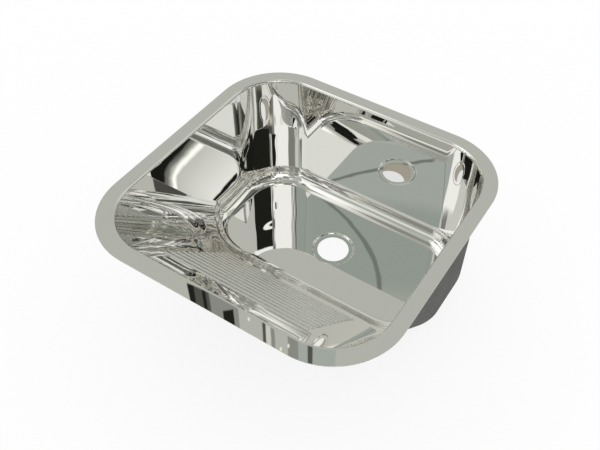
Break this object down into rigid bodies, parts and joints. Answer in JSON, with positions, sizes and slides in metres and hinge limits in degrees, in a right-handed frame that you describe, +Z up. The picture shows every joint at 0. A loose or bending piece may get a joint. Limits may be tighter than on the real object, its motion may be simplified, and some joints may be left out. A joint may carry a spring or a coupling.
{
  "type": "laundry sink",
  "caption": "Square pressed steel laundry sink: deep bowl with a ribbed washboard slope at the front, flat rim, round outlet and under-rim clamps.",
  "frame": {"origin": "centre of the square cut-out in the worktop that the sink drops into, at the height of the worktop's top face, which is also the underside of the rim seal", "axes": "+Z up, out of the bowl; +X to the right of a user who stands at the washboard; +Y away from that user, so the washboard slope is on the -Y side and the outlet is on the +Y side"},
  "size_m": [0.5, 0.5, 0.2333],
  "materials": {
    "polished_steel": "mirror-polished stainless steel",
    "grey_coat": "matt dark grey sprayed sound-deadening coat",
    "black_rubber": "matt moulded rubber",
    "seal_foam": "closed-cell foam rubber",
    "zinc_steel": "bright zinc-plated steel"
  },
  "bodies": {
    "root": {"basin": "polished_steel", "sound_coat": "grey_coat", "bottom_pad": "black_rubber", "rim_seal": "seal_foam", "stud_left_front": "zinc_steel", "stud_left_back": "zinc_steel", "stud_right_front": "zinc_steel", "stud_right_back": "zinc_steel", "stud_back_left": "zinc_steel", "stud_back_right": "zinc_steel"},
    "washer_left_front": {"washer_left_front": "zinc_steel"},
    "claw_left_front": {"claw_left_front": "zinc_steel"},
    "nut_left_front": {"nut_left_front": "zinc_steel"},
    "washer_left_back": {"washer_left_back": "zinc_steel"},
    "claw_left_back": {"claw_left_back": "zinc_steel"},
    "nut_left_back": {"nut_left_back": "zinc_steel"},
    "washer_right_front": {"washer_right_front": "zinc_steel"},
    "claw_right_front": {"claw_right_front": "zinc_steel"},
    "nut_right_front": {"nut_right_front": "zinc_steel"},
    "washer_right_back": {"washer_right_back": "zinc_steel"},
    "claw_right_back": {"claw_right_back": "zinc_steel"},
    "nut_right_back": {"nut_right_back": "zinc_steel"},
    "washer_back_left": {"washer_back_left": "zinc_steel"},
    "claw_back_left": {"claw_back_left": "zinc_steel"},
    "nut_back_left": {"nut_back_left": "zinc_steel"},
    "washer_back_right": {"washer_back_right": "zinc_steel"},
    "claw_back_right": {"claw_back_right": "zinc_steel"},
    "nut_back_right": {"nut_back_right": "zinc_steel"}
  },
  "joints": [
    {"name": "clamp_rise_left_front", "type": "slide", "parent": "root", "child": "washer_left_front", "axis": [0, 0, 1], "range_m": [0, 0.02]},
    {"name": "claw_swing_left_front", "type": "hinge", "parent": "washer_left_front", "child": "claw_left_front", "pos_m": [-0.2345, -0.11, 0], "axis": [0, 0, 1], "range_deg": [0, 90]},
    {"name": "nut_turn_left_front", "type": "hinge", "parent": "washer_left_front", "child": "nut_left_front", "pos_m": [-0.2345, -0.11, 0], "axis": [0, 0, 1], "range_deg": [0, 9000]},
    {"name": "clamp_rise_left_back", "type": "slide", "parent": "root", "child": "washer_left_back", "axis": [0, 0, 1], "range_m": [0, 0.02]},
    {"name": "claw_swing_left_back", "type": "hinge", "parent": "washer_left_back", "child": "claw_left_back", "pos_m": [-0.2345, 0.11, 0], "axis": [0, 0, -1], "range_deg": [0, 90]},
    {"name": "nut_turn_left_back", "type": "hinge", "parent": "washer_left_back", "child": "nut_left_back", "pos_m": [-0.2345, 0.11, 0], "axis": [0, 0, 1], "range_deg": [0, 9000]},
    {"name": "clamp_rise_right_front", "type": "slide", "parent": "root", "child": "washer_right_front", "axis": [0, 0, 1], "range_m": [0, 0.02]},
    {"name": "claw_swing_right_front", "type": "hinge", "parent": "washer_right_front", "child": "claw_right_front", "pos_m": [0.2345, -0.11, 0], "axis": [0, 0, -1], "range_deg": [0, 90]},
    {"name": "nut_turn_right_front", "type": "hinge", "parent": "washer_right_front", "child": "nut_right_front", "pos_m": [0.2345, -0.11, 0], "axis": [0, 0, 1], "range_deg": [0, 9000]},
    {"name": "clamp_rise_right_back", "type": "slide", "parent": "root", "child": "washer_right_back", "axis": [0, 0, 1], "range_m": [0, 0.02]},
    {"name": "claw_swing_right_back", "type": "hinge", "parent": "washer_right_back", "child": "claw_right_back", "pos_m": [0.2345, 0.11, 0], "axis": [0, 0, 1], "range_deg": [0, 90]},
    {"name": "nut_turn_right_back", "type": "hinge", "parent": "washer_right_back", "child": "nut_right_back", "pos_m": [0.2345, 0.11, 0], "axis": [0, 0, 1], "range_deg": [0, 9000]},
    {"name": "clamp_rise_back_left", "type": "slide", "parent": "root", "child": "washer_back_left", "axis": [0, 0, 1], "range_m": [0, 0.02]},
    {"name": "claw_swing_back_left", "type": "hinge", "parent": "washer_back_left", "child": "claw_back_left", "pos_m": [-0.11, 0.2345, 0], "axis": [0, 0, 1], "range_deg": [0, 90]},
    {"name": "nut_turn_back_left", "type": "hinge", "parent": "washer_back_left", "child": "nut_back_left", "pos_m": [-0.11, 0.2345, 0], "axis": [0, 0, 1], "range_deg": [0, 9000]},
    {"name": "clamp_rise_back_right", "type": "slide", "parent": "root", "child": "washer_back_right", "axis": [0, 0, 1], "range_m": [0, 0.02]},
    {"name": "claw_swing_back_right", "type": "hinge", "parent": "washer_back_right", "child": "claw_back_right", "pos_m": [0.11, 0.2345, 0], "axis": [0, 0, -1], "range_deg": [0, 90]},
    {"name": "nut_turn_back_right", "type": "hinge", "parent": "washer_back_right", "child": "nut_back_right", "pos_m": [0.11, 0.2345, 0], "axis": [0, 0, 1], "range_deg": [0, 9000]}
  ],
  "couplings": [
    {"joint": "nut_turn_left_front", "follows": "clamp_rise_left_front", "rad_per_m": 7853.9},
    {"joint": "nut_turn_left_back", "follows": "clamp_rise_left_back", "rad_per_m": 7853.9},
    {"joint": "nut_turn_right_front", "follows": "clamp_rise_right_front", "rad_per_m": 7853.9},
    {"joint": "nut_turn_right_back", "follows": "clamp_rise_right_back", "rad_per_m": 7853.9},
    {"joint": "nut_turn_back_left", "follows": "clamp_rise_back_left", "rad_per_m": 7853.9},
    {"joint": "nut_turn_back_right", "follows": "clamp_rise_back_right", "rad_per_m": 7853.9}
  ]
}
